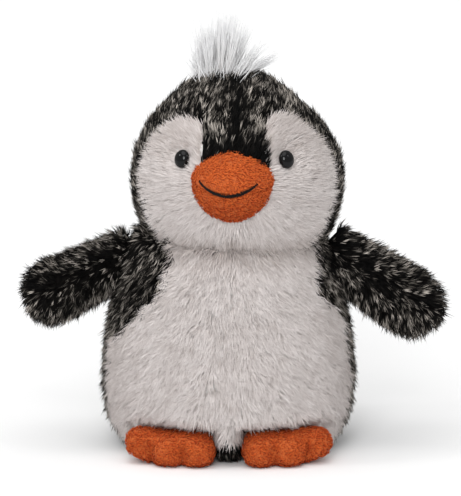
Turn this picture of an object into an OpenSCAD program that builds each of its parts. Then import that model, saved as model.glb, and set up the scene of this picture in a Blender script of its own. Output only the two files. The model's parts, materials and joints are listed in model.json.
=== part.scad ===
// Plush penguin: a small soft toy that sits upright on a flat base and two flat feet.
// It faces -Y. Left and right are the penguin's own sides, so its left is at +X.
// The origin is on the floor, under the middle of the body, and +Z is up.

/* [Body] */
// Largest radius of the body's fabric
body_r = 53.5; // [52:0.5:55]
// Height of the body's widest part above the floor
belly_h = 30; // [28:1:34]
// Height of the collar, where the body ends and the head begins
neck_h = 96; // [94:1:98]
// Radius of the body at the collar
neck_r = 40; // [39:0.5:42]
// Radius of the flat base that the toy sits on
base_r = 40; // [38:1:42]
// Height to which the dark base panel wraps up the body
base_h = 6; // [5:0.5:8]
// How far in front of the body's middle the side seams of the belly panel lie
side_seam_y = 16; // [14:1:18]

/* [Head] */
// Radius of the head's fabric
head_r = 46.5; // [45:0.5:48]
// Sideways offset of the head from the middle of the body
head_x = 4; // [0:0.5:5]
// Height of the head's centre above the floor
head_h = 122; // [121:0.5:124]
// Angle by which the head is turned, towards the penguin's right when below zero
head_turn = -3; // [-6:1:6]
// Radius of the hair tuft at its root
tuft_r = 9; // [7:0.5:10]
// Length of the hair tuft
tuft_l = 23; // [18:1:26]

/* [Face] */
// Half the width of the dark peak between the white patches
peak_w = 14.5; // [13:0.5:16]
// Radius of the beak along its mouth line
beak_r = 17.7; // [17:0.1:19]
// Height of the upper beak above the mouth line
beak_up = 10.5; // [9.5:0.5:13]
// Depth of the lower beak below the mouth line
beak_down = 19; // [17:0.5:20]
// Downward tilt of the beak, in degrees
beak_tilt = 17; // [12:1:22]
// Half the angle that the stitched smile spans
smile_a = 57; // [50:1:65]
// Diameter of an eye
eye_d = 7.6; // [6:0.2:9]
// Height of an eye's dome
eye_dome = 2.9; // [2:0.1:3.4]

/* [Flippers] */
// Length of a flipper from its shoulder pivot to its tip
flipper_l = 45; // [43:0.5:48]
// Half the width of a flipper at its palm
palm_r = 13.6; // [11:0.1:14]
// Half the width of a flipper at its root
root_r = 7; // [6.5:0.1:7.2]
// Largest thickness of a flipper
flipper_t = 14; // [12:0.5:14]
// Height of the shoulder pivots above the floor
shoulder_h = 83.5; // [82:0.5:84]
// Distance of the shoulder pivots from the middle of the body
shoulder_x = 52.5; // [52:0.5:53]
// Angle of the right flipper below the level
drop_right = 19; // [12:1:24]
// Angle by which the right flipper points forward
sweep_right = 24; // [18:1:28]
// Angle of the left flipper below the level
drop_left = 29; // [20:1:32]
// Angle by which the left flipper points forward
sweep_left = 8; // [4:1:14]

/* [Feet] */
// Distance from the middle of the body to the middle of each foot
foot_x = 23; // [22.5:0.5:24]
// Distance from the middle of the body forward to the crease that each foot bends at
foot_y = 34; // [33.5:0.5:35]
// Height of a foot
foot_h = 14.5; // [13:0.5:15]
// Radius of a toe
toe_r = 8; // [7.5:0.1:8.4]
// Distance between neighbouring toes
toe_pitch = 13.8; // [13:0.1:14]
// Angle by which each foot turns outward
foot_splay = 14; // [8:1:15]

/* [Fabric and filling] */
// Thickness of the plush, with its backing and the root of the pile
cloth = 2.5; // [2:0.1:3]
// Thickness of the terry cloth on the beak and feet
terry = 2; // [1.6:0.1:2.4]
// Gap between pieces that move against each other
play = 0.4; // [0.3:0.1:0.5]

/* [Hidden] */

$fn = 96;
right = -1;
left = 1;
far = 200;              // reaches past the whole toy
ease = 0.15;            // looseness of the filling inside the fabric
frost = [0.16, 0.15, 0.14];
snow = [0.93, 0.92, 0.9];
orange = [0.86, 0.36, 0.12];
fill_colour = [0.97, 0.96, 0.93];

// The body's side is one arc above the belly and a tighter one below it
side_arc = (pow(neck_h - belly_h, 2) + pow(body_r - neck_r, 2)) / (2 * (body_r - neck_r));
base_arc = (pow(belly_h, 2) + pow(body_r - base_r, 2)) / (2 * (body_r - base_r));

// Neck: a wad of filling with a round head that the head's filling turns on
neck_ball_r = 16;
neck_stem_r = 8;
neck_foot_h = 60;
nod_room = 8.5;         // how far the stem swings sideways in the head's opening

// Bean pouch
pouch_r = 24;
pouch_h = 14;
pouch_z = 4;
pouch_cloth = 0.8;

// Care label
label_w = 16;
label_t = 0.8;
label_h = 20;
label_z = 29;
label_y = 57.5;

// Eyes
eye_azimuth = 31.5;
eye_elevation = 18.5;
shank_r = 1.2;
shank_l = 8;
washer_r = 4.5;
washer_t = 1.2;
washer_at = 42.4;       // distance of the washer's inner face from the head's centre
eye_lift = 0.2;         // gap between the fabric and the flat back of an eye
dome_r = (pow(eye_d / 2, 2) + pow(eye_dome, 2)) / (2 * eye_dome);

// White patches of the face: a lobe above each eye, a cheek below it and the jowl
lobe_x = 20.5;
lobe_z = 15.5;
lobe_r = 19;
cheek_x = 18;
cheek_z = 3;
cheek_r = 25.5;
jowl_z = -2;
jowl_r = 43.7;
peak_z = -4;            // where the dark peak ends, behind the beak

// Beak, as two caps that meet at the mouth line
beak_y = 44;
beak_z = 7.6;
upper_arc = (pow(beak_r, 2) + pow(beak_up, 2)) / (2 * beak_up);
lower_arc = (pow(beak_r, 2) + pow(beak_down, 2)) / (2 * beak_down);
thread_r = 0.6;

// Flippers
gusset_out = 10.2;      // outer radius of the gusset cup at the flipper's root
gusset_in = 8.8;
gusset_depth = 7.2;     // the cup covers only what is deeper than this behind the pivot
wrist_x = 18;           // where a flipper has nearly its full width, from its pivot
lens_arc = 90;          // radius of a flipper's two broad faces
lens_x = 20;            // where a flipper is thickest, from its pivot

// Feet
foot_room_z = 20;       // top of the space under the belly that a foot lies in
foot_room_y = 9;        // how far that space reaches behind the foot's crease
foot_room_in = 3.6;      // its inner edge, from the middle of the body
foot_reach = 14;        // how far the middle toe's centre is in front of the crease
inner_toe = [-toe_pitch, 1 - foot_reach];
middle_toe = [0, -foot_reach];
outer_toe = [toe_pitch, 3 - foot_reach];
instep_arc = 75;        // radius of the curve that the top of a foot follows

// Points along an arc about c, from angle a0 to a1
function arc(c, r, a0, a1, steps) = [
    for (i = [0:steps]) let (a = a0 + (a1 - a0) * i / steps) c + r * [cos(a), sin(a)]
];
// Direction from one point to another, and the half angle of one circle of radius r
// about the first point that the same circle about the second one covers
function bearing(p, q) = atan2(q.y - p.y, q.x - p.x);
function notch(p, q, r) = acos(min(1, norm(q - p) / 2 / r));

// ---- Shapes that the panels and fillings are cut from ----

module body_form(inset) {
    rotate_extrude() {
        intersection() {
            translate([body_r - side_arc, belly_h]) circle(side_arc - inset);
            translate([0, belly_h]) square([body_r, neck_h - belly_h]);
        }
        intersection() {
            translate([body_r - base_arc, belly_h]) circle(base_arc - inset);
            translate([0, inset]) square([body_r, belly_h - inset]);
        }
    }
}

module in_head() {
    translate([head_x, 0, head_h]) rotate([0, 0, head_turn]) children();
}

module head_ball(inset) {
    sphere(head_r - inset);
}

// Everything on one side of the middle plane
module half(side) {
    translate([side == left ? 0 : -far, -far, -far]) cube([far, 2 * far, 2 * far]);
}

module in_front_of(y) {
    translate([-far, -far - y, -far]) cube([2 * far, far, 2 * far]);
}

module slab(z0, z1) {
    translate([-far, -far, z0]) cube([2 * far, 2 * far, z1 - z0]);
}

module foot_room(side) {
    reach = 60;
    x0 = side == left ? foot_room_in : -foot_room_in - reach;
    translate([x0, -foot_y + foot_room_y - reach, -1]) cube([reach, reach, foot_room_z + 1]);
}

module shoulder_room(side, r) {
    translate([side * shoulder_x, 0, shoulder_h]) sphere(r);
}

// What the neighbours take out of the body: the head, the flippers and the feet
module body_recesses() {
    translate([head_x, 0, head_h]) sphere(head_r + play);
    for (side = [right, left]) {
        foot_room(side);
        shoulder_room(side, gusset_out + play);
    }
}

module body_shell() {
    difference() {
        body_form(0);
        body_form(cloth);
        body_recesses();
    }
}

// ---- Body ----

module belly_panel() {
    color(snow) intersection() {
        body_shell();
        in_front_of(side_seam_y);
        slab(base_h, neck_h + 1);
    }
}

module back_panel(side) {
    color(frost) intersection() {
        difference() {
            body_shell();
            in_front_of(side_seam_y);
        }
        half(side);
        slab(base_h, neck_h + 1);
    }
}

module base_panel() {
    color(frost) intersection() {
        body_shell();
        slab(-1, base_h);
    }
}

module body_stuffing() {
    color(fill_colour) difference() {
        body_form(cloth + ease);
        body_recesses();
        translate([0, 0, pouch_z - ease]) cylinder(h = pouch_h + 2 * ease, r = pouch_r + ease);
        translate([head_x, 0, neck_foot_h - ease]) cylinder(h = far, r = neck_stem_r + ease);
    }
}

module bean_pouch() {
    color("gainsboro") translate([0, 0, pouch_z]) difference() {
        cylinder(h = pouch_h, r = pouch_r);
        translate([0, 0, pouch_cloth])
            cylinder(h = pouch_h - 2 * pouch_cloth, r = pouch_r - pouch_cloth);
    }
}

module bean_fill() {
    inset = pouch_cloth + ease;
    color("white") translate([0, 0, pouch_z + inset])
        cylinder(h = pouch_h - 2 * inset, r = pouch_r - inset);
}

module care_label() {
    color("white") {
        translate([-label_w / 2, body_r + ease, label_z])
            cube([label_w, label_y - body_r - ease + label_t, label_t]);
        translate([-label_w / 2, label_y, label_z - label_h])
            cube([label_w, label_t, label_h + label_t]);
    }
}

module neck_stuffing() {
    color(fill_colour) translate([head_x, 0, 0]) {
        translate([0, 0, head_h]) sphere(neck_ball_r);
        translate([0, 0, neck_foot_h]) cylinder(h = head_h - neck_foot_h, r = neck_stem_r);
    }
}

// ---- Head ----

// The opening under the head that the neck passes through
module neck_hole() {
    translate([0, 0, -head_r - 1])
        cylinder(h = head_r + 1, r1 = neck_stem_r + nod_room + 1, r2 = neck_stem_r + 1);
}

// A round bar along the way the face looks, at x and z from the head's centre
module face_bar(x, z, r) {
    translate([x, 0, z]) rotate([90, 0, 0]) cylinder(h = far, r = r);
}

// Both white patches, with the dark peak between them
module face_region() {
    difference() {
        union() {
            for (side = [right, left]) {
                face_bar(side * lobe_x, lobe_z, lobe_r);
                face_bar(side * cheek_x, cheek_z, cheek_r);
            }
            intersection() {
                face_bar(0, jowl_z, jowl_r);
                slab(-far, 0);
            }
        }
        translate([-peak_w, -far, peak_z]) cube([2 * peak_w, far, far]);
    }
}

// Turns +X to the direction in which an eye looks
module toward_eye(side) {
    rotate([0, 0, -90 + side * eye_azimuth]) rotate([0, -eye_elevation, 0]) children();
}

module eye_holes(r) {
    for (side = [right, left])
        toward_eye(side) rotate([0, 90, 0]) cylinder(h = far, r = r);
}

module head_shell() {
    difference() {
        head_ball(0);
        head_ball(cloth);
        neck_hole();
        eye_holes(shank_r + ease);
    }
}

module hood(side) {
    color(frost) in_head() intersection() {
        difference() {
            head_shell();
            face_region();
        }
        half(side);
    }
}

module face(side) {
    color(snow) in_head() intersection() {
        head_shell();
        face_region();
        half(side);
    }
}

module head_stuffing() {
    color(fill_colour) in_head() difference() {
        head_ball(cloth + ease);
        sphere(neck_ball_r + play);
        neck_hole();
        eye_holes(shank_r + ease);
        for (side = [right, left])
            toward_eye(side) translate([washer_at - ease, 0, 0]) rotate([0, 90, 0])
                cylinder(h = far, r = washer_r + ease);
    }
}

module hair_tuft() {
    lean = 9;
    color("white") in_head() difference() {
        rotate([5, -lean, 0]) translate([0, 0, head_r - 2])
            cylinder(h = tuft_l + 2, r1 = tuft_r, r2 = tuft_r * 0.55);
        head_ball(-ease);
    }
}

// ---- Beak ----

module in_beak() {
    in_head() translate([0, -beak_y, beak_z]) rotate([beak_tilt, 0, 0]) children();
}

module upper_form(inset) {
    intersection() {
        translate([0, 0, beak_up - upper_arc]) sphere(upper_arc - inset);
        slab(0, far);
    }
}

module lower_form(inset) {
    intersection() {
        translate([0, 0, lower_arc - beak_down]) sphere(lower_arc - inset);
        slab(-far, 0);
    }
}

module smile_ring(r) {
    rotate_extrude() translate([beak_r - thread_r, 0]) circle(r);
}

module beak_upper() {
    color(orange) difference() {
        in_beak() difference() {
            upper_form(0);
            upper_form(terry);
            smile_ring(thread_r + ease / 2);
        }
        in_head() head_ball(-ease);
    }
}

module beak_lower() {
    color(orange) difference() {
        in_beak() difference() {
            lower_form(0);
            lower_form(terry);
            smile_ring(thread_r + ease / 2);
        }
        in_head() head_ball(-ease);
    }
}

module beak_stuffing() {
    color(fill_colour) difference() {
        in_beak() union() {
            upper_form(terry + ease);
            lower_form(terry + ease);
        }
        in_head() head_ball(-ease);
    }
}

module mouth_stitch() {
    color("black") in_beak() rotate([0, 0, -90 - smile_a])
        rotate_extrude(angle = 2 * smile_a) translate([beak_r - thread_r, 0]) circle(thread_r);
}

// ---- Eyes ----

module eye(side) {
    color("black") in_head() toward_eye(side) rotate([0, 90, 0]) {
        translate([0, 0, head_r + eye_lift]) intersection() {
            translate([0, 0, eye_dome - dome_r]) sphere(dome_r);
            cylinder(h = far, r = eye_d);
        }
        translate([0, 0, head_r + eye_lift - shank_l]) cylinder(h = shank_l + 0.1, r = shank_r);
    }
}

module eye_washer(side) {
    color("white") in_head() toward_eye(side) rotate([0, 90, 0])
        translate([0, 0, washer_at]) difference() {
            cylinder(h = washer_t, r = washer_r);
            translate([0, 0, -1]) cylinder(h = washer_t + 2, r = shank_r + ease);
        }
}

// ---- Flippers ----

// Places a flipper drawn along +X, with its broad faces to the front and back
module in_flipper(side) {
    drop = side == left ? drop_left : drop_right;
    sweep = side == left ? sweep_left : sweep_right;
    mirror([side == left ? 0 : 1, 0, 0]) translate([shoulder_x, 0, shoulder_h])
        rotate([0, drop, -sweep]) children();
}

module flipper_outline(inset) {
    palm_x = flipper_l - palm_r;
    root = root_r - inset;
    palm = palm_r - inset;
    polygon(concat(
        arc([palm_x, 0], palm, -86, 86, 18),
        [[wrist_x, palm - 1]],
        arc([0, 0], root, 100, 260, 12),
        [[wrist_x, 1 - palm]]
    ));
}

module flipper_form(inset) {
    half_t = flipper_t / 2;
    intersection() {
        rotate([90, 0, 0]) linear_extrude(height = flipper_t, center = true)
            flipper_outline(inset);
        translate([lens_x, lens_arc - half_t, 0]) sphere(lens_arc - inset, $fn = 240);
        translate([lens_x, half_t - lens_arc, 0]) sphere(lens_arc - inset, $fn = 240);
    }
}

module flipper_half(side, front) {
    color(frost) in_flipper(side) intersection() {
        difference() {
            flipper_form(0);
            flipper_form(cloth - 0.5);
        }
        translate([-far, front ? -far : 0, -far]) cube([2 * far, far, 2 * far]);
    }
}

module flipper_stuffing(side) {
    color(fill_colour) in_flipper(side) flipper_form(cloth - 0.5 + ease);
}

// A cup of fabric that joins the flipper's root to the body
module flipper_gusset(side) {
    color(frost) mirror([side == left ? 0 : 1, 0, 0])
        translate([shoulder_x, 0, shoulder_h]) intersection() {
            difference() {
                sphere(gusset_out);
                sphere(gusset_in);
            }
            translate([-far - gusset_depth, -far, -far]) cube([far, 2 * far, 2 * far]);
        }
}

// ---- Feet ----

module in_foot(side) {
    mirror([side == left ? 0 : 1, 0, 0])
        translate([foot_x, -foot_y, 0]) rotate([0, 0, foot_splay]) children();
}

// A foot from above, toes towards -Y and the outer toe at +X
module foot_outline(inset) {
    r = toe_r - inset;
    heel = toe_pitch + r - 3;
    polygon(concat(
        [[-heel, -inset]],
        arc(inner_toe, r, 180, 360 + bearing(inner_toe, middle_toe) - notch(inner_toe, middle_toe, r), 8),
        arc(middle_toe, r, 180 + bearing(inner_toe, middle_toe) + notch(inner_toe, middle_toe, r),
            360 + bearing(middle_toe, outer_toe) - notch(middle_toe, outer_toe, r), 8),
        arc(outer_toe, r, 180 + bearing(middle_toe, outer_toe) + notch(middle_toe, outer_toe, r), 360, 8),
        [[heel, -inset]]
    ));
}

module foot_form(inset) {
    intersection() {
        translate([0, 0, inset]) linear_extrude(height = foot_h) foot_outline(inset);
        translate([0, 4, foot_h - instep_arc]) rotate([0, 90, 0])
            cylinder(h = 2 * far, r = instep_arc - inset, center = true, $fn = 180);
    }
}

module foot_upper(side) {
    color(orange) in_foot(side) intersection() {
        difference() {
            foot_form(0);
            foot_form(terry);
        }
        slab(terry, far);
    }
}

module foot_sole(side) {
    color(orange) in_foot(side) intersection() {
        foot_form(0);
        slab(-1, terry);
    }
}

module foot_stuffing(side) {
    color(fill_colour) in_foot(side) foot_form(terry + ease);
}

belly_panel();
back_panel(right);  // back_panel_right
back_panel(left);  // back_panel_left
base_panel();
body_stuffing();
bean_pouch();
bean_fill();
care_label();
neck_stuffing();
hood(right);  // hood_right
hood(left);  // hood_left
face(right);  // face_right
face(left);  // face_left
head_stuffing();
hair_tuft();
beak_upper();
beak_lower();
beak_stuffing();
mouth_stitch();
eye(right);  // eye_right
eye(left);  // eye_left
eye_washer(right);  // eye_washer_right
eye_washer(left);  // eye_washer_left
flipper_gusset(right);  // flipper_right_gusset
flipper_half(right, true);  // flipper_right_front
flipper_half(right, false);  // flipper_right_back
flipper_stuffing(right);  // flipper_right_stuffing
flipper_gusset(left);  // flipper_left_gusset
flipper_half(left, true);  // flipper_left_front
flipper_half(left, false);  // flipper_left_back
flipper_stuffing(left);  // flipper_left_stuffing
foot_upper(right);  // foot_right_upper
foot_sole(right);  // foot_right_sole
foot_stuffing(right);  // foot_right_stuffing
foot_upper(left);  // foot_left_upper
foot_sole(left);  // foot_left_sole
foot_stuffing(left);  // foot_left_stuffing
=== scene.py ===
"""Plush penguin: fabrics, fur, beak, feet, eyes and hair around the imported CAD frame."""
import json
import math

import bpy
import numpy as np
from mathutils import Matrix, Vector


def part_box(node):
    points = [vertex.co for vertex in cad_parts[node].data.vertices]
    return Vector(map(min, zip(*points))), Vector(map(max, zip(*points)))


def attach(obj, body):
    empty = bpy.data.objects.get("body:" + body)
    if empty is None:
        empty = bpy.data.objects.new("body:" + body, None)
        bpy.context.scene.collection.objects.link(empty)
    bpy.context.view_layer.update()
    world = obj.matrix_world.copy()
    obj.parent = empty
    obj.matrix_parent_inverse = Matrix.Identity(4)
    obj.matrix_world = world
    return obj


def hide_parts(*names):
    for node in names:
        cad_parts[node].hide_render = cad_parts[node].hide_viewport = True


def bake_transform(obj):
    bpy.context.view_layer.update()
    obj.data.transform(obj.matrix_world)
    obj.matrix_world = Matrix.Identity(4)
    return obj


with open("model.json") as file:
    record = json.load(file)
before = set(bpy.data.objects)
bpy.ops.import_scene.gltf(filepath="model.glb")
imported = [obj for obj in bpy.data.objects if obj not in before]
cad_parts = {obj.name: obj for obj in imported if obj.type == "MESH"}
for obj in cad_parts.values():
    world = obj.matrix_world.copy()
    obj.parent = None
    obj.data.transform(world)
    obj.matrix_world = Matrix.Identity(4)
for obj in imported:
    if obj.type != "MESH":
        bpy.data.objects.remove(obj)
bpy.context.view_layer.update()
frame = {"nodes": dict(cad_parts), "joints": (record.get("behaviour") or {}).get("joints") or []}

MM = 0.001
JOINT_AT = {j["name"]: np.array(j.get("pos_m", (0, 0, 0)), float) for j in frame["joints"]}

# ---- Driving dimensions, in metres and degrees ----

HEAD_AT = JOINT_AT["head_turn"]
HEAD_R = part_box("hood_left")[1][2] - HEAD_AT[2]
HEAD_TURN = -3.0
NECK_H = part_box("belly_panel")[1][2]
BODY_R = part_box("back_panel_left")[1][0]
BASE_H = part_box("base_panel")[1][2]
BELLY_H = 30 * MM            # height of the widest part
NECK_R = 40 * MM
BASE_R = 40 * MM
SIDE_SEAM_Y = -16 * MM       # the belly panel lies in front of this
FOOT_ROOM = (3.6 * MM, 50 * MM, -31 * MM, 19 * MM)    # |x| from, |x| to, front of y, below z
SHOULDER = {-1: JOINT_AT["flipper_right_flap"], 1: JOINT_AT["flipper_left_flap"]}
DROP = {-1: 19.0, 1: 29.0}   # how far each flipper hangs below the level
SWEEP = {-1: 24.0, 1: 8.0}   # how far each flipper points forward
FOOT_AT = {-1: JOINT_AT["foot_right_flex"], 1: JOINT_AT["foot_left_flex"]}
FOOT_SPLAY = 14.0
SIDE_NAME = {-1: "right", 1: "left"}
BEAK_OUT = 44 * MM
BEAK_UP = 7.6 * MM
BEAK_TILT = 17.0
BEAK_R = 17.7 * MM
EYE_AZIMUTH = {-1: 30.3, 1: 31.9}
EYE_ELEVATION = 18.5

VIEW_H = 223.2 * MM          # height of the picture at the toy
LOOK_DOWN = 11.0             # degrees the camera looks down
RNG = np.random.default_rng(20)


# ---- Small vector helpers on arrays of points ----

def unit(v):
    return v / np.maximum(np.linalg.norm(v, axis=-1, keepdims=True), 1e-12)


def turn(axis, degrees):
    return np.array(Matrix.Rotation(math.radians(degrees), 3, axis))


def across(v, n):
    """v with its part along n taken out, at unit length."""
    return unit(v - (v * n).sum(-1, keepdims=True) * n)


def smooth(x, lo, hi):
    t = np.clip((x - lo) / (hi - lo), 0, 1)
    return t * t * (3 - 2 * t)


def wobble(p, size, seed, octaves=3):
    """Smooth noise from -1 to 1 with features of the given size."""
    rng = np.random.default_rng(seed)
    total = np.zeros(len(p))
    for octave in range(octaves):
        for _ in range(6):
            k = unit(rng.normal(size=3)) * 2 * math.pi / size * 1.8 ** octave
            total += np.sin(p @ k + rng.uniform(0, 6.28)) / 1.7 ** octave
    return total / 5


# ---- Meshes from arrays ----

def new_mesh(name, verts, faces, uv=None, normals=None):
    """A smooth mesh object. faces is an (n, 3) or (n, 4) array, or a list of such arrays."""
    groups = faces if isinstance(faces, list) else [faces]
    mesh = bpy.data.meshes.new(name)
    mesh.vertices.add(len(verts))
    mesh.vertices.foreach_set("co", np.asarray(verts, np.float32).ravel())
    sizes = np.concatenate([np.full(len(g), g.shape[1]) for g in groups])
    corners = np.concatenate([g.ravel() for g in groups])
    mesh.loops.add(len(corners))
    mesh.loops.foreach_set("vertex_index", corners.astype(np.int32))
    mesh.polygons.add(len(sizes))
    mesh.polygons.foreach_set("loop_start", (np.cumsum(sizes) - sizes).astype(np.int32))
    if uv is not None:
        mesh.uv_layers.new(name="OFBake").data.foreach_set("uv", uv.astype(np.float32).ravel())
    mesh.update(calc_edges=True)
    mesh.polygons.foreach_set("use_smooth", np.ones(len(sizes), bool))
    if normals is not None:
        mesh.normals_split_custom_set_from_vertices(normals)
    obj = bpy.data.objects.new(name, mesh)
    bpy.context.scene.collection.objects.link(obj)
    return obj


def grid_faces(rows, cols):
    """Quads over a rows x cols grid of points whose last column joins its first."""
    r, c = np.meshgrid(np.arange(rows - 1), np.arange(cols), indexing="ij")
    here, below = r * cols, (r + 1) * cols
    after = (c + 1) % cols
    return np.stack([here + c, here + after, below + after, below + c], -1).reshape(-1, 4)


def vertex_normals(verts, quads):
    a, b, c, d = (verts[quads[:, i]] for i in range(4))
    face = np.cross(c - a, d - b)
    total = np.zeros_like(verts)
    for i in range(4):
        np.add.at(total, quads[:, i], face)
    return unit(total)


class Skin:
    """A quad surface that pieces are cut from and fur grows on."""

    def __init__(self, verts, quads):
        self.verts = verts
        self.quads = quads
        self.normals = vertex_normals(verts, quads)

    @classmethod
    def grid(cls, points):
        rows, cols = points.shape[:2]
        return cls(points.reshape(-1, 3), grid_faces(rows, cols))

    def moved(self, turned, to):
        """The skin turned and moved; its quads are turned round as well if turned mirrors it."""
        mirrored = np.linalg.det(turned) < 0
        return Skin(self.verts @ turned.T + to, self.quads[:, ::-1] if mirrored else self.quads)

    def part(self, keep):
        """The quads whose middles keep() wants, as a new piece's points and faces."""
        quads = self.quads[keep(self.verts[self.quads].mean(1))]
        used, index = np.unique(quads, return_inverse=True)
        return self.verts[used], index.reshape(-1, 4)

    def scatter(self, per_mm2, keep):
        """Random points with their normals, that many per square millimetre where keep() is true."""
        q = self.quads
        tris = np.concatenate([q[:, [0, 1, 2]], q[:, [0, 2, 3]]])
        a, b, c = (self.verts[tris[:, i]] for i in range(3))
        area = np.linalg.norm(np.cross(b - a, c - a), axis=1) / 2
        count = int(area.sum() / MM ** 2 * per_mm2)
        pick = RNG.choice(len(tris), count, p=area / area.sum())
        w = RNG.random((count, 2))
        flip = w.sum(1) > 1
        w[flip] = 1 - w[flip]
        w = np.column_stack([1 - w.sum(1), w])
        p = (self.verts[tris[pick]] * w[:, :, None]).sum(1)
        n = unit((self.normals[tris[pick]] * w[:, :, None]).sum(1))
        good = keep(p)
        return p[good], n[good]


BAG_SCALE = 10.0             # the simulation runs this much larger, where Blender's cloth behaves
SIMULATED_FRAMES = 20


def stuffed(points, voxel, pressure, most):
    """A closed form from a grid of rings, blown up as a sewn bag by a short cloth simulation.

    No point moves further than most."""
    rows, cols = points.shape[:2]
    ends = points[[0, -1]].mean(1)
    verts = np.concatenate([points.reshape(-1, 3), ends]) * BAG_SCALE
    ring = np.arange(cols)
    after = (ring + 1) % cols
    last_row = (rows - 1) * cols
    first = np.stack([after, ring, np.full(cols, rows * cols)], 1)
    last = np.stack([last_row + ring, last_row + after, np.full(cols, rows * cols + 1)], 1)
    bag = new_mesh("bag", verts, [grid_faces(rows, cols), first, last])
    remesh = bag.modifiers.new("remesh", "REMESH")
    remesh.mode = "VOXEL"
    remesh.voxel_size = voxel * BAG_SCALE
    before = evaluated(bag)
    bag.modifiers.clear()
    bag.data = before
    start = points_of(before)
    cloth = bag.modifiers.new("cloth", "CLOTH")
    cloth.settings.quality = 6
    cloth.settings.use_pressure = True
    cloth.settings.uniform_pressure_force = pressure
    cloth.settings.effector_weights.gravity = 0
    for number in range(1, SIMULATED_FRAMES + 1):
        bpy.context.scene.frame_set(number)
    end = points_of(evaluated(bag))
    bag.modifiers.clear()
    move = end - start
    far = np.linalg.norm(move, axis=1, keepdims=True)
    end = start + move * np.minimum(1, most * BAG_SCALE / (far + 1e-9))
    before.vertices.foreach_set("co", end.ravel())
    bpy.context.scene.frame_set(1)
    finer = bag.modifiers.new("finer", "SUBSURF")
    finer.levels = 1
    done = evaluated(bag)
    quads = np.zeros(len(done.loops), np.int32)
    done.loops.foreach_get("vertex_index", quads)
    skin = Skin(points_of(done) / BAG_SCALE, quads.reshape(-1, 4))
    bpy.data.objects.remove(bag)
    return skin


def evaluated(obj):
    """A new mesh with the object's modifiers applied at the present frame."""
    bpy.context.view_layer.update()
    return bpy.data.meshes.new_from_object(obj.evaluated_get(bpy.context.evaluated_depsgraph_get()))


def points_of(mesh):
    co = np.zeros(len(mesh.vertices) * 3, np.float32)
    mesh.vertices.foreach_get("co", co)
    return co.reshape(-1, 3).astype(float)


# ---- Fur ----

FUR_FLOOR = 0.3 * MM         # no strand goes lower than this
MOST_STRANDS = 19500
FROSTED_CLUMPS = 0.66        # clumps on each square millimetre of cloth
SNOW_CLUMPS = 1.25
DENSE_CLUMPS = 0.7           # frosted plush on the flippers and the base
FROSTED_PILE = dict(width=0.25 * MM, per_clump=4, spread=0.45 * MM, gather=0.85, bend=14.0, roundness=0.4)
BASE_PILE = dict(width=0.25 * MM, per_clump=4, spread=0.75 * MM, gather=0.7, bend=22.0, roundness=0.45)
SNOW_PILE = dict(width=0.2 * MM, per_clump=4, spread=0.9 * MM, gather=0.25, bend=22.0, roundness=0.88)
TERRY_PILE = dict(width=0.33 * MM, per_clump=1, spread=0, gather=0, bend=34.0, roundness=0.3)
SHADES = 128                 # columns of the fur's colour map, from its darkest strands to its palest


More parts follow.
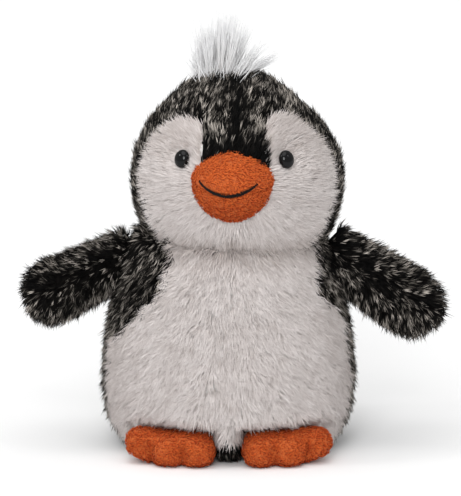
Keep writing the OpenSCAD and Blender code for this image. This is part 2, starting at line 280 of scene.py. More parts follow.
def strands(name, root, normal, comb, length, lean, shade,
            width, per_clump, spread, gather, bend, roundness):
    """Fur as tapered, bent three-sided strands that grow in small clumps.

    root, normal, comb, length and lean (degrees from the normal) are given for each clump, and shade
    runs from 0, the darkest tips, to 1. spread is how far the strands of a clump stand apart, gather how
    much their tips come together again, bend their curve in degrees, and roundness how far the shading
    follows the cloth below. More than MOST_STRANDS strands are made as several pieces."""
    clumps = len(root)
    side = np.cross(normal, comb)
    k = clumps * per_clump
    rep = np.repeat(np.arange(clumps), per_clump)
    off = RNG.normal(size=(k, 2)) * spread * 0.6
    n, t, s = normal[rep], comb[rep], side[rep]
    foot = root[rep] + off[:, :1] * t + off[:, 1:] * s - 0.4 * MM * n
    size = length[rep] * RNG.uniform(0.78, 1.12, k)
    a0 = np.radians(lean[rep] - bend / 2 + RNG.normal(size=k) * 6)[:, None]
    a1 = np.radians(lean[rep] + bend + RNG.normal(size=k) * 8)[:, None]
    stray = RNG.normal(size=(k, 1)) * 0.13 * s
    d0 = unit(n * np.cos(a0) + t * np.sin(a0) + stray)
    d1 = unit(n * np.cos(a1) + t * np.sin(a1) + stray * 1.6)
    mid = foot + d0 * size[:, None] * 0.5
    tip = mid + d1 * size[:, None] * 0.5
    pull = off[:, :1] * t + off[:, 1:] * s
    mid -= pull * gather * 0.45
    tip -= pull * gather
    d0 = unit(mid - foot)
    e1 = unit(np.cross(d0, n) + 1e-9 * s)
    e2 = np.cross(d0, e1)
    twist = RNG.uniform(0, 2 * math.pi, (k, 1, 1)) + np.array([0, 2.094, 4.189])[None, :, None]
    ring = np.cos(twist) * e1[:, None] + np.sin(twist) * e2[:, None]
    w = (width * RNG.uniform(0.75, 1.25, k))[:, None, None]
    verts = np.concatenate([foot[:, None] + ring * w, mid[:, None] + ring * w * 0.8, tip[:, None]], 1)
    verts[..., 2] = np.maximum(verts[..., 2], FUR_FLOOR)
    soft = np.concatenate([ring, ring, ((d1 + n) / 2)[:, None]], 1)
    soft = unit(soft * (1 - roundness) + n[:, None] * roundness)
    level = np.clip(shade[rep] + RNG.normal(size=k) * 0.07, 0, 0.999)
    u0 = np.floor(level * SHADES) / SHADES + 0.08 / SHADES
    u1 = u0 + 0.84 / SHADES
    quads = np.array([[0, 1, 4, 3], [1, 2, 5, 4], [2, 0, 3, 5]])
    tris = np.array([[3, 4, 6], [4, 5, 6], [5, 3, 6], [0, 2, 1]])
    v_of = np.array([0, 0, 0, 0.5, 0.5, 0.5, 1])
    made = []
    pieces = math.ceil(k / MOST_STRANDS)
    for i in range(pieces):
        use = np.arange(k * i // pieces, k * (i + 1) // pieces)
        base = np.arange(len(use))[:, None, None] * 7
        fq = (base + quads).reshape(-1, 4)
        ft = (base + tris).reshape(-1, 3)
        uq = np.stack([u0[use], u1[use], u1[use], u0[use]], 1)[:, None].repeat(3, 1)
        vq = np.broadcast_to(v_of[quads], (len(use), 3, 4))
        ut = np.stack([u0[use], u1[use], (u0[use] + u1[use]) / 2], 1)[:, None].repeat(4, 1)
        vt = np.broadcast_to(v_of[tris], (len(use), 4, 3))
        uv = np.concatenate([np.stack([uq, vq], -1).reshape(-1, 2), np.stack([ut, vt], -1).reshape(-1, 2)])
        label = name if pieces == 1 else f"{name}_{i + 1}"
        made.append(new_mesh(label, verts[use].reshape(-1, 3), [fq, ft], uv, soft[use].reshape(-1, 3)))
    return made


# ---- Materials ----

def node_material(name, roughness, **sockets):
    mat = bpy.data.materials.new(name)
    mat.use_nodes = True
    tree = mat.node_tree
    shader = tree.nodes["Principled BSDF"]
    shader.inputs["Roughness"].default_value = roughness
    for key, value in sockets.items():
        shader.inputs[key.replace("_", " ")].default_value = value
    return mat, tree, shader


def add(tree, kind, links=(), **values):
    """A node with its settings, and links given as (socket, source socket)."""
    node = tree.nodes.new(kind)
    for key, value in values.items():
        if hasattr(node, key):
            setattr(node, key, value)
        else:
            node.inputs[key.replace("_", " ")].default_value = value
    for socket, source in links:
        tree.links.new(source, node.inputs[socket])
    return node


def ramp(tree, source, stops):
    """The colour output of a ramp over (position, colour) stops."""
    node = add(tree, "ShaderNodeValToRGB", [("Fac", source)])
    elements = node.color_ramp.elements
    while len(elements) < len(stops):
        elements.new(1.0)
    for element, (at, colour) in zip(elements, stops):
        element.position = at
        element.color = (*colour, 1)
    return node.outputs["Color"]


def fur_material(name, roots, tips, blend, roughness, **sockets):
    """Strand colour from the root to the tip (v) and from dark to pale strands (u).

    roots and tips are colour stops over u, and blend is where along v the one gives way to the other."""
    mat, tree, shader = node_material(name, roughness, **sockets)
    uv = add(tree, "ShaderNodeUVMap", uv_map="OFBake")
    axes = add(tree, "ShaderNodeSeparateXYZ", [("Vector", uv.outputs["UV"])])
    grain = add(tree, "ShaderNodeTexNoise", [("Vector", uv.outputs["UV"])], Scale=45.0, Detail=3.0)
    shift = add(tree, "ShaderNodeMapRange", [("Value", grain.outputs["Fac"])])
    shift.inputs["To Min"].default_value = -0.12
    shift.inputs["To Max"].default_value = 0.12
    along = add(tree, "ShaderNodeMath", [(0, axes.outputs["Y"]), (1, shift.outputs["Result"])],
                operation="ADD")
    fade = add(tree, "ShaderNodeMapRange", [("Value", along.outputs["Value"])],
               interpolation_type="SMOOTHSTEP")
    fade.inputs["From Min"].default_value, fade.inputs["From Max"].default_value = blend
    mix = add(tree, "ShaderNodeMix", data_type="RGBA")
    tree.links.new(fade.outputs["Result"], mix.inputs["Factor"])
    tree.links.new(ramp(tree, axes.outputs["X"], roots), mix.inputs[6])
    tree.links.new(ramp(tree, axes.outputs["X"], tips), mix.inputs[7])
    tree.links.new(mix.outputs[2], shader.inputs["Base Color"])
    return mat


def cloth_material(name, dark, pale, scale, roughness, **sockets):
    """An even surface of two close colours in noise of the given scale."""
    mat, tree, shader = node_material(name, roughness, **sockets)
    coord = add(tree, "ShaderNodeTexCoord")
    noise = add(tree, "ShaderNodeTexNoise", [("Vector", coord.outputs["Object"])], Scale=scale, Detail=4.0)
    colour = ramp(tree, noise.outputs["Fac"], [(0.35, dark), (0.65, pale)])
    tree.links.new(colour, shader.inputs["Base Color"])
    return mat


FROST_ROOT = [(0.0, (0.002, 0.002, 0.002)), (1.0, (0.006, 0.005, 0.0045))]
FROST_TIP = [(0.0, (0.003, 0.003, 0.003)), (0.48, (0.010, 0.009, 0.008)),
             (0.64, (0.15, 0.135, 0.118)), (1.0, (0.64, 0.58, 0.52))]
# The darker end of the white fur's colours, towards u = 0, carries the fur's random tone and also painted
# shade on the upper face, the jowl, the chin seam and the belly.
SNOW_ROOT = [(0.0, (0.42, 0.36, 0.33)), (1.0, (0.73, 0.67, 0.645))]
SNOW_TIP = [(0.0, (0.46, 0.40, 0.375)), (1.0, (0.83, 0.775, 0.755))]
TERRY_ROOT = [(0.0, (0.16, 0.014, 0.003)), (1.0, (0.33, 0.038, 0.006))]
TERRY_TIP = [(0.0, (0.42, 0.050, 0.008)), (1.0, (0.74, 0.16, 0.032))]

frost_fur = fur_material("frosted_fur", FROST_ROOT, FROST_TIP, (0.30, 0.75), 0.75, Specular_IOR_Level=0.06)
snow_fur = fur_material("snow_fur", SNOW_ROOT, SNOW_TIP, (0.15, 0.8), 0.8, Specular_IOR_Level=0.3)
terry_loops = fur_material("terry_loops", TERRY_ROOT, TERRY_TIP, (0.1, 0.8), 0.85, Specular_IOR_Level=0.2)
frost_cloth = cloth_material("frosted_backing", (0.002, 0.002, 0.002), (0.006, 0.005, 0.0045), 900, 0.95,
                             Specular_IOR_Level=0.05)
snow_cloth = cloth_material("snow_backing", (0.66, 0.64, 0.62), (0.78, 0.76, 0.74), 900, 0.9)
terry_cloth = cloth_material("terry_backing", (0.36, 0.06, 0.01), (0.56, 0.12, 0.018), 1400, 0.9)
snow_hair = fur_material("snow_hair", [(0.0, (0.80, 0.78, 0.77)), (1.0, (0.90, 0.88, 0.87))],
                         [(0.0, (0.88, 0.88, 0.89)), (1.0, (0.95, 0.95, 0.95))], (0.1, 0.8), 0.6)
thread = cloth_material("satin_thread", (0.002, 0.002, 0.002), (0.006, 0.0055, 0.005), 3000, 0.5,
                        Specular_IOR_Level=0.12)
bead = cloth_material("eye_bead", (0.002, 0.002, 0.002), (0.004, 0.004, 0.0045), 500, 0.06,
                      Specular_IOR_Level=0.22)
label_satin = cloth_material("label_weave", (0.62, 0.62, 0.61), (0.74, 0.74, 0.73), 2500, 0.45,
                             Sheen_Weight=0.3)


def dress(piece, material, body, slot, *replaced):
    """Give a piece its material and the body it rides on, and hide the CAD nodes it stands for. The slot
    argument is not used.
    """
    piece.data.materials.clear()
    piece.data.materials.append(material)
    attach(piece, body)
    if replaced:
        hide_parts(*replaced)
    return piece


# ---- Camera, floor and light ----

def place_camera():
    """A long lens 3 m away, which looks down at the toy as the photo does."""
    cam = bpy.data.objects.new("camera", bpy.data.cameras.new("camera"))
    bpy.context.scene.collection.objects.link(cam)
    elevation, away = math.radians(LOOK_DOWN), 3.0
    aim = Vector((0.9, 0, 89.4)) * MM
    cam.location = aim + Vector((0, -math.cos(elevation), math.sin(elevation))) * away
    cam.rotation_euler = (math.pi / 2 - elevation, 0, 0)
    cam.data.sensor_width = 36
    cam.data.lens = cam.data.sensor_width * away / VIEW_H
    cam.data.clip_start = 0.05
    bpy.context.scene.camera = cam


def area_light(name, at, look_at, size, power, colour=(1, 1, 1)):
    light = bpy.data.lights.new(name, "AREA")
    light.shape = "DISK"
    light.size = size
    light.energy = power
    light.color = colour
    obj = bpy.data.objects.new(name, light)
    obj.location = at
    obj.rotation_euler = (Vector(look_at) - Vector(at)).to_track_quat("-Z", "Y").to_euler()
    bpy.context.scene.collection.objects.link(obj)


def sun_light(name, toward, strength, wide):
    light = bpy.data.lights.new(name, "SUN")
    light.energy = strength
    light.angle = math.radians(wide)
    obj = bpy.data.objects.new(name, light)
    obj.rotation_euler = Vector(toward).to_track_quat("-Z", "Y").to_euler()
    bpy.context.scene.collection.objects.link(obj)


def make_stage():
    """A wide flat floor in rings that lie closer together under the toy, a white room and soft lights."""
    floor_r = 9.0
    r = floor_r * np.linspace(0.001, 1, 40) ** 2
    a = np.radians(np.arange(0, 360, 6))
    rings = np.stack([r[:, None] * np.cos(a), r[:, None] * np.sin(a), 0 * r[:, None] + 0 * a], -1)
    floor = new_mesh("floor", rings.reshape(-1, 3), grid_faces(len(r), len(a)))
    floor.data.materials.append(cloth_material("pale_floor", (0.90, 0.90, 0.90), (0.93, 0.93, 0.93), 3, 0.9))
    world = bpy.data.worlds.new("studio")
    world.use_nodes = True
    world.node_tree.nodes["Background"].inputs["Color"].default_value = (1, 1, 1, 1)
    world.node_tree.nodes["Background"].inputs["Strength"].default_value = 0.60
    bpy.context.scene.world = world
    sun_light("overhead", (0.10, 0.25, -1.0), 1.05, 50)
    sun_light("frontal", (0.10, 0.93, -0.45), 1.35, 24)
    area_light("catch_right", (-1.15, -0.33, 1.05), (0, -0.04, 0.13), 0.20, 2.4)
    area_light("catch_left", (0.95, -0.6, 1.1), (0, -0.04, 0.13), 0.16, 0.9)
    bpy.context.scene.view_settings.view_transform = "Standard"


place_camera()
make_stage()


# ---- Head ----

TO_HEAD = turn("Z", HEAD_TURN)
CROWN_LEAN = 2.2 * MM        # towards the penguin's right
COLLAR_BELOW = 34 * MM       # from the head's centre down to the top of the collar
BEAK_ROOT = np.array([0.0, -40.0, 4.0])    # mm, in the head's axes: the face's fur sweeps out from here


def in_head(p):
    """Points in the head's own axes: from its centre, face towards -Y."""
    return (p - HEAD_AT) @ TO_HEAD


def from_head(p):
    return p @ TO_HEAD.T + HEAD_AT


def head_radius(d):
    """The head's radius along unit directions d in its own axes.

    It is a ball that is a little flatter at its sides and above, with a hollow round each eye."""
    slope = np.clip(d[..., 2], 0, 1)
    top = -3.0 * MM * (2 * slope * np.sqrt(1 - slope ** 2)) ** 3
    eyes = 0
    for side in (-1, 1):
        toward = eye_direction(side)
        eyes = eyes - 1.6 * MM * smooth((d * toward).sum(-1), 0.978, 0.998)
    sides = -1.2 * MM * smooth(np.abs(d[..., 0]), 0.75, 1.0)
    return HEAD_R + top + sides + eyes


def eye_direction(side):
    az, el = math.radians(EYE_AZIMUTH[side]), math.radians(EYE_ELEVATION)
    return np.array([side * math.sin(az) * math.cos(el), -math.cos(az) * math.cos(el), math.sin(el)])


def head_skin():
    el = np.radians(np.linspace(-89.5, 89.5, 130))[:, None]
    az = np.radians(np.linspace(0, 360, 240, endpoint=False))[None, :]
    d = np.stack([np.sin(az) * np.cos(el), -np.cos(az) * np.cos(el), np.sin(el) + 0 * az], -1)
    p = d * head_radius(d)[..., None]
    p[..., 0] -= CROWN_LEAN * smooth(p[..., 2], 5 * MM, 40 * MM)
    return Skin.grid(from_head(p))


def in_face(p):
    """Is a point in the white patches? An oval seen from the front, with a round lobe above each eye
    and the dark peak of the hood between them."""
    q = unit(in_head(p)) * HEAD_R / MM
    tilt = math.radians(LOOK_DOWN)
    edge = 0.8 * wobble(p, 9 * MM, 3)
    x, up = q[:, 0] - 1.5, q[:, 2] * math.cos(tilt) + q[:, 1] * math.sin(tilt)
    middle, half_w = -2, 40.5
    half_h = np.where(up > middle, 35.5, 37.5)
    oval = ((np.abs(x) - edge) / half_w) ** 2 + ((up - middle) / half_h) ** 2 < 1
    lobe_x, lobe_up, lobe_r, lobes_from = 24.0, 10.2, 16.5, 11.5
    lobe = (up < lobes_from) | (np.hypot(np.abs(x) - lobe_x, up - lobe_up - 0.11 * x) - edge < lobe_r)
    peak_half_w, peak_foot = 14.6, -6
    peak = (np.abs(x + 1.0) < peak_half_w) & (up > peak_foot)
    return oval & lobe & ~peak & (q[:, 1] < 0)


def above_collar(p):
    """Not inside the collar, where fur wouldn't be seen."""
    return in_head(p)[:, 2] > -COLLAR_BELOW


HEAD = head_skin()


def make_head():
    """The hood's and the face's cloths and fur. The fur sweeps up over the hood and out from the beak."""
    up = np.array([0.22, 0.16, 1.0])
    for side in (-1, 1):
        name = SIDE_NAME[side]

        def mine(p):
            return in_head(p)[:, 0] * side > 0

        hood = new_mesh(f"hood_{name}_cloth", *HEAD.part(lambda p: mine(p) & ~in_face(p)))
        dress(hood, frost_cloth, "head", "frosted_plush", f"hood_{name}")
        face = new_mesh(f"face_{name}_cloth", *HEAD.part(lambda p: mine(p) & in_face(p)))
        dress(face, snow_cloth, "head", "white_plush", f"face_{name}")

        p, n = HEAD.scatter(FROSTED_CLUMPS, lambda p: mine(p) & ~in_face(p) & above_collar(p))
        q = in_head(p) / MM
        comb = across(up + np.array([0.12, 0, 0]) * side, n)
        comb = unit(comb + np.cross(n, comb) * 0.30 * wobble(p, 14 * MM, 5)[:, None])
        seam = np.exp(-(q[:, 0] / 2.2) ** 2) * (q[:, 1] < 0)
        brow = smooth(26 - q[:, 2], 0, 14) * (q[:, 1] < 0) * smooth(16.5 - np.abs(q[:, 0]), 0, 3)
        shade = 0.47 + 0.26 * RNG.normal(size=len(p)) + 0.16 * wobble(p, 16 * MM, 8)
        shade = np.clip(shade - 0.5 * seam - 0.45 * brow, 0.02, 0.98)
        length = (6.0 + 0.8 * RNG.normal(size=len(p))) * MM
        lean = 61 + 7 * RNG.normal(size=len(p))
        for piece in strands(f"hood_{name}_fur", p, n, comb, length, lean, shade, **FROSTED_PILE):
            dress(piece, frost_fur, "head", "frosted_plush")

        p, n = HEAD.scatter(SNOW_CLUMPS, lambda p: mine(p) & in_face(p) & above_collar(p))
        q = in_head(p) / MM
        comb = across((q - BEAK_ROOT) * [1, 0.2, 1] @ TO_HEAD.T, n)
        eye_gap = np.linalg.norm(q - eye_direction(side) * HEAD_R / MM, axis=1)
        near = smooth(eye_gap, 3.5, 11)
        chin = smooth(-q[:, 2], 22, 32)
        # The chin seam below the beak: its fur is shorter, and its colour is darker as painted shadow in the
        # crease.
        chin_seam_and_shade = np.exp(-(q[:, 0] / 1.8) ** 2) * smooth(-q[:, 2], 14, 20)
        length = (3.2 + 3.8 * near + 2.2 * chin - 2.5 * chin_seam_and_shade + 0.5 * RNG.normal(size=len(p))) * MM
        lean = 50 + 8 * (1 - near) + 6 * RNG.normal(size=len(p))
        free = eye_gap > 3.2
        # Painted shade: the face fur is made darker towards the tops of the upper lobes and much darker on
        # the jowl below the beak.
        shade = 0.72 + 0.16 * RNG.normal(size=len(p)) - 0.3 * smooth(q[:, 2], 8, 22)
        shade = np.clip(shade - 0.7 * smooth(-q[:, 2], 12, 30) - 0.5 * chin_seam_and_shade, 0, 1)
        for piece in strands(f"face_{name}_fur", p[free], n[free], comb[free], length[free], lean[free],
                             shade[free], **SNOW_PILE):
            dress(piece, snow_fur, "head", "white_plush")


make_head()


# ---- Body ----

def body_profile():
    """Radius and height from the middle of the base up the side to the inside of the collar."""
    side_arc = ((NECK_H - BELLY_H) ** 2 + (BODY_R - NECK_R) ** 2) / (2 * (BODY_R - NECK_R))
    base_arc = (BELLY_H ** 2 + (BODY_R - BASE_R) ** 2) / (2 * (BODY_R - BASE_R))
    z_low = np.linspace(0.4 * MM, BELLY_H, 16)
    r_low = BODY_R - base_arc + np.sqrt(base_arc ** 2 - (BELLY_H - z_low) ** 2)
    r_low += 0.8 * MM * np.exp(-((z_low - 12 * MM) / (8 * MM)) ** 2)
    z_up = np.linspace(BELLY_H, NECK_H, 40)[1:]
    r_up = BODY_R - side_arc + np.sqrt(side_arc ** 2 - (z_up - BELLY_H) ** 2)
    bottom = np.linspace(0.5 * MM, r_low[0], 18)[:-1]
    collar = np.linspace(0, 1, 8)[1:]
    rim_r = r_up[-1] - 7 * MM * collar
    rim_z = NECK_H + 1.2 * MM * np.sin(collar * math.pi) - 5 * MM * collar ** 2
    r = np.concatenate([bottom, r_low, r_up, rim_r])
    z = np.concatenate([np.full(17, z_low[0]), z_low, z_up, rim_z])
    return r, z


def body_skin():
    r, z = body_profile()
    phi = np.radians(np.linspace(0, 360, 220, endpoint=False))
    p = np.stack([r[:, None] * np.cos(phi), r[:, None] * np.sin(phi), z[:, None] + 0 * phi], -1)
    x0, x1, y0, z1 = FOOT_ROOM
    x = np.abs(p[..., 0])
    inside = smooth(x, x0 - 1.5 * MM, x0 + 1.5 * MM) * smooth(-p[..., 2], -z1 - 2 * MM, -z1 + 1 * MM)
    limit = np.maximum(p[..., 1], y0)
    p[..., 1] += (limit - p[..., 1]) * inside * (x < x1)
    return Skin.grid(p)


BODY = body_skin()
SHOULDER_LINE = {-1: (25.0, 80.0, 0.88), 1: (36.5, 76.0, 0.90)}    # mm out, mm up, slope below that


def in_front(p):
    """In front of the side seams, which slant forward over the shoulders."""
    front = p[:, 1] < SIDE_SEAM_Y + 1.5 * MM * wobble(p, 9 * MM, 6)
    for side, (width, height, slope) in SHOULDER_LINE.items():
        edge = width * MM + slope * np.maximum(height * MM - p[:, 2], 0)
        front &= p[:, 0] * side < edge + 1.5 * MM * wobble(p, 9 * MM, 7)
    return front


def above_base(p):
    return p[:, 2] > BASE_H


def back_of(side):
    """A test for the frosted back panel on one side."""
    def keep(p):
        return (p[:, 0] * side > 0) & ~in_front(p) & above_base(p)
    return keep


def outside_collar(reach):
    """A test for points at least reach from the body's axis, so not on the collar's hidden rim."""
    def keep(p):
        return np.hypot(p[:, 0], p[:, 1]) > reach
    return keep


def between_feet(p):
    """The low middle of the front, where the dark base shows."""
    return (np.abs(p[:, 0]) < 7 * MM) & (p[:, 2] < 13 * MM)


def in_foot_room(p):
    """On the flat places behind and above each foot, where no fur grows."""
    x0, x1, y0, z1 = FOOT_ROOM
    return (np.abs(p[:, 0]) > x0) & (p[:, 1] < y0 + 2 * MM) & (p[:, 2] < z1 + 0.5 * MM)


def make_body():
    """The belly, the two backs and the base, with fur that hangs down."""
    belly = new_mesh("belly_cloth", *BODY.part(lambda p: in_front(p) & above_base(p)))
    dress(belly, snow_cloth, "torso", "white_plush", "belly_panel")
    for side in (-1, 1):
        name = SIDE_NAME[side]
        mine, clear = back_of(side), outside_collar(NECK_R - 3 * MM)
        back = new_mesh(f"back_{name}_cloth", *BODY.part(mine))
        dress(back, frost_cloth, "torso", "frosted_plush", f"back_panel_{name}")

        p, n = BODY.scatter(FROSTED_CLUMPS, lambda p: mine(p) & clear(p))
        comb = across(np.array([0, -0.35, -1.0]), n)
        comb = unit(comb + np.cross(n, comb) * 0.35 * wobble(p, 14 * MM, 12)[:, None])
        shoulder = smooth(p[:, 2], 50 * MM, 68 * MM) * smooth(-p[:, 1], -8 * MM, 8 * MM)
        shade = 0.55 + 0.27 * RNG.normal(size=len(p)) + 0.15 * wobble(p, 16 * MM, 9)
        shade = np.clip(shade - 0.16 * shoulder, 0.02, 0.98)
        length = (6.4 + 0.8 * RNG.normal(size=len(p))) * MM
        lean = 48 + 8 * RNG.normal(size=len(p))
        for piece in strands(f"back_{name}_fur", p, n, comb, length, lean, shade, **FROSTED_PILE):
            dress(piece, frost_fur, "torso", "frosted_plush")
    base = new_mesh("base_cloth", *BODY.part(lambda p: ~above_base(p)))
    dress(base, frost_cloth, "torso", "frosted_plush", "base_panel")

    clear = outside_collar(NECK_R - 1 * MM)
    p, n = BODY.scatter(SNOW_CLUMPS, lambda p: in_front(p) & above_base(p) & ~in_foot_room(p)
                        & ~between_feet(p) & clear(p))
    out = np.stack([p[:, 0] / BODY_R * 1.1, 0 * p[:, 0], np.full(len(p), -0.75)], 1)
    comb = across(out, n)
    comb = unit(comb + np.cross(n, comb) * 0.5 * wobble(p, 13 * MM, 15)[:, None])
    length = (7.2 + 0.8 * RNG.normal(size=len(p))) * MM
    lean = 48 + 20 * smooth(p[:, 2], 82 * MM, 95 * MM) + 7 * RNG.normal(size=len(p))
    # Painted shade: the belly fur is made darker just under the chin and towards the flanks.
    under_chin_shade = smooth(p[:, 2], 84 * MM, 96 * MM)
    flank_shade = smooth(np.abs(p[:, 0]), 32 * MM, 52 * MM)
    shade = 0.74 + 0.16 * RNG.normal(size=len(p)) + 0.12 * wobble(p, 15 * MM, 19)
    shade = np.clip(shade - 0.4 * under_chin_shade - 0.25 * flank_shade, 0, 1)
    for piece in strands("belly_fur", p, n, comb, length, lean, shade, **SNOW_PILE):
        dress(piece, snow_fur, "torso", "white_plush")

    p, n = BODY.scatter(DENSE_CLUMPS, lambda p: (~above_base(p) | between_feet(p))
                        & (p[:, 2] > 0.8 * MM) & ~in_foot_room(p))
    comb = across(np.array([0, 0, -1.0]), n)
    length = np.minimum(4.2 * MM, p[:, 2] + 1.2 * MM)
    shade = np.clip(0.35 + 0.2 * RNG.normal(size=len(p)), 0, 1)
    lean = np.full(len(p), 35.0)
    for piece in strands("base_fur", p, n, comb, length, lean, shade, **BASE_PILE):
        dress(piece, frost_fur, "torso", "frosted_plush")


make_body()


# ---- Flippers ----

def flipper_turn(side):
    """From a flipper's own axes (+X to the tip, +Z to its upper edge) to the penguin's."""
    m = turn("Z", -SWEEP[side]) @ turn("Y", DROP[side])
    return np.diag([side, 1, 1]) @ m


def flipper_form():
    """A flipper in its own axes: a flat bag, narrow at its root and round at its tip."""
    root_x, tip_x, tip_r = -10, 30, 13.6
    around = np.radians(np.linspace(0, 88, 26))[1:]
    x = np.concatenate([np.linspace(root_x, tip_x, 46), tip_x + tip_r * np.sin(around)])
    tip = np.sqrt(np.clip(1 - ((x - tip_x) / tip_r) ** 2, 0, 1)) * (x > tip_x) + (x <= tip_x)
    half_w = (12.2 + 1.9 * smooth(x, -4, 22) - 0.6 * smooth(x, 26, 34)) * tip
    half_t = (6.6 - 0.9 * smooth(x, -2, 34)) * tip ** 0.7
    a = np.radians(np.linspace(0, 360, 72, endpoint=False))
    flat = np.sign(np.sin(a)) * np.abs(np.sin(a)) ** 0.8
    points = np.stack([x[:, None] + 0 * a, half_t[:, None] * np.cos(a), half_w[:, None] * flat], -1) * MM
    return stuffed(points[:, ::-1], 1.3 * MM, 3.0, 1.2 * MM)


FLIPPER = flipper_form()
FLIPPER_STRETCH = {-1: 0.98, 1: 1.10}              # along the flipper
FLIPPER_DROOP = {-1: 1.4 * MM, 1: 1.7 * MM}        # how far its tip sinks
FLIPPER_SLIM = {-1: 0.19, 1: 0.06}                 # how much its upper edge is lowered near the root


def flipper_skin(side):
    """The stuffed form stretched, drooped and set at one shoulder."""
    droop = FLIPPER_DROOP[side] * smooth(FLIPPER.verts[:, 0], 6 * MM, 40 * MM)
    form = FLIPPER.verts * [FLIPPER_STRETCH[side], 1, 1]
    root_top = (form[:, 2] > 0) * (1 - smooth(form[:, 0], 20 * MM, 38 * MM))
    form[:, 2] *= 1 - FLIPPER_SLIM[side] * root_top
    form[:, 2] -= droop
    form = Skin(form, FLIPPER.quads)
    return form.moved(flipper_turn(side), SHOULDER[side])


def make_flipper(side):
    """A flipper's two cloths and its fur."""
    name = SIDE_NAME[side]
    skin = flipper_skin(side)
    turned = flipper_turn(side)

    def local(p):
        return (p - SHOULDER[side]) @ turned / MM

    def reach(along):
        return tuple(SHOULDER[side] + turned @ np.array([along, 0, 0]) * MM)

    def fit(piece, material, *replaced):
        piece.data.materials.append(material)
        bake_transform(piece)
        if replaced:
            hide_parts(*replaced)

    for face, front in (("front", -1), ("back", 1)):
        cloth = new_mesh(f"flipper_{name}_{face}_cloth", *skin.part(lambda p: local(p)[:, 1] * front > 0))
        stands_for = [f"flipper_{name}_{part}" for part in (face, "gusset", "stuffing")]
        fit(cloth, frost_cloth, *stands_for)
    p, n = skin.scatter(DENSE_CLUMPS, lambda p: local(p)[:, 0] > -9.5)
    q = local(p)
    rise = q[:, 2] / 12.6
    flow = np.stack([0.75 + 0 * rise, 0 * rise, rise * 1.15 - 0.15], 1) @ turned.T
    comb = across(flow, n)
    comb = unit(comb + np.cross(n, comb) * 0.35 * wobble(p, 12 * MM, 21 + side)[:, None])
    shade = 0.44 + 0.27 * RNG.normal(size=len(p)) + 0.14 * wobble(p, 14 * MM, 31)
    shade = np.clip(shade - 0.22 * np.exp(-((rise - 0.25) / 0.3) ** 2), 0.02, 0.98)
    length = (6.4 + 0.8 * RNG.normal(size=len(p))) * MM
    lean = 46 + 8 * RNG.normal(size=len(p))
    for piece in strands(f"flipper_{name}_fur", p, n, comb, length, lean, shade, **FROSTED_PILE):
        fit(piece, frost_fur)


for SIDE in (-1, 1):
    make_flipper(SIDE)


# ---- Beak ----

TO_BEAK = TO_HEAD @ turn("X", BEAK_TILT)    # the beak's axes, tipped down at the front
BEAK_AT = from_head(np.array([0, -BEAK_OUT, BEAK_UP]))
SMILE_HALF = 47.0            # degrees round the beak from the smile's middle to its ends
SMILE_SHIFT = -5.5           # degrees from the beak's middle to the smile's


def beak_skin():
    """A ball pressed from above and below, pinched along the mouth line and pointed at its top."""
    v = np.radians(np.linspace(-88, 88, 90))[:, None]
    phi = np.radians(np.linspace(0, 360, 120, endpoint=False))[None, :]
    pinch = 0.9 * np.exp(-(np.degrees(v) / 5.0) ** 2) * smooth(-np.sin(phi), 0.1, 0.6)
    r = BEAK_R / MM * np.cos(v) ** 0.92 - pinch
    x, y = r * np.cos(phi), r * np.sin(phi)
    point = 1.04 - 0.30 * np.abs((x + 1.8) / 18.3) ** 1.3
    upper_h, lower_h = 9.8, 19.0
    z = np.where(v > 0, upper_h * point, lower_h) * np.sin(v)
    return Skin.grid(np.stack([x, y, z], -1) * MM @ TO_BEAK.T + BEAK_AT)


def in_beak(p):
    """Points in the beak's own axes, in millimetres: the mouth line is at z = 0."""
    return (p - BEAK_AT) @ TO_BEAK / MM


def terry(name, skin, keep, flow, shade_of, body, per_mm2):
    """Short bent loops that lie along flow and swirl round it."""
    p, n = skin.scatter(per_mm2, keep)
    comb = across(flow + 0 * p, n)
    swirl = 1.1 * wobble(p, 7 * MM, 41, 2) + 0.35 * RNG.normal(size=len(p))
    comb = comb * np.cos(swirl)[:, None] + np.cross(n, comb) * np.sin(swirl)[:, None]
    length = 2.5 * MM * RNG.uniform(0.75, 1.25, len(p))
    lean = np.full(len(p), 54.0)
    for piece in strands(name, p, n, comb, length, lean, shade_of(p), **TERRY_PILE):
        dress(piece, terry_loops, body, "orange_terry")


def terry_grain(p):
    return 0.16 * wobble(p, 5 * MM, 44) + 0.12 * RNG.normal(size=len(p))


def make_beak():
    """The two halves of the beak, their terry loops except along the smile, and the smile."""
    skin = beak_skin()
    for name, upper in (("beak_upper", True), ("beak_lower", False)):
        cloth = new_mesh(f"{name}_cloth", *skin.part(lambda p: (in_beak(p)[:, 2] > 0) == upper))
        dress(cloth, terry_cloth, "head", "orange_terry", name)

    def free(p):
        q = in_beak(p)
        phi = np.degrees(np.arctan2(q[:, 0], -q[:, 1])) - SMILE_SHIFT
        line = smile_line(phi / SMILE_HALF)
        return ~((np.abs(q[:, 2] - line) < 0.8) & (np.abs(phi) < SMILE_HALF)) & (in_head(p)[:, 1] < -40 * MM)

    def shade(p):
        # Painted shade: the terry is paler higher up and darker lower down, with the random grain added on
        # top.
        return np.clip(0.62 + 0.02 * in_beak(p)[:, 2] + terry_grain(p), 0, 1)

    terry("beak_terry", skin, free, TO_HEAD @ np.array([1.0, 0, 0.12]), shade, "head", 1.8)
    make_smile()


THREAD_SIDES = 8
THREAD_R = 0.34 * MM
STITCHES = 52
BEAK_DOME_H = 11 * MM        # about how high the beak rises over the mouth line


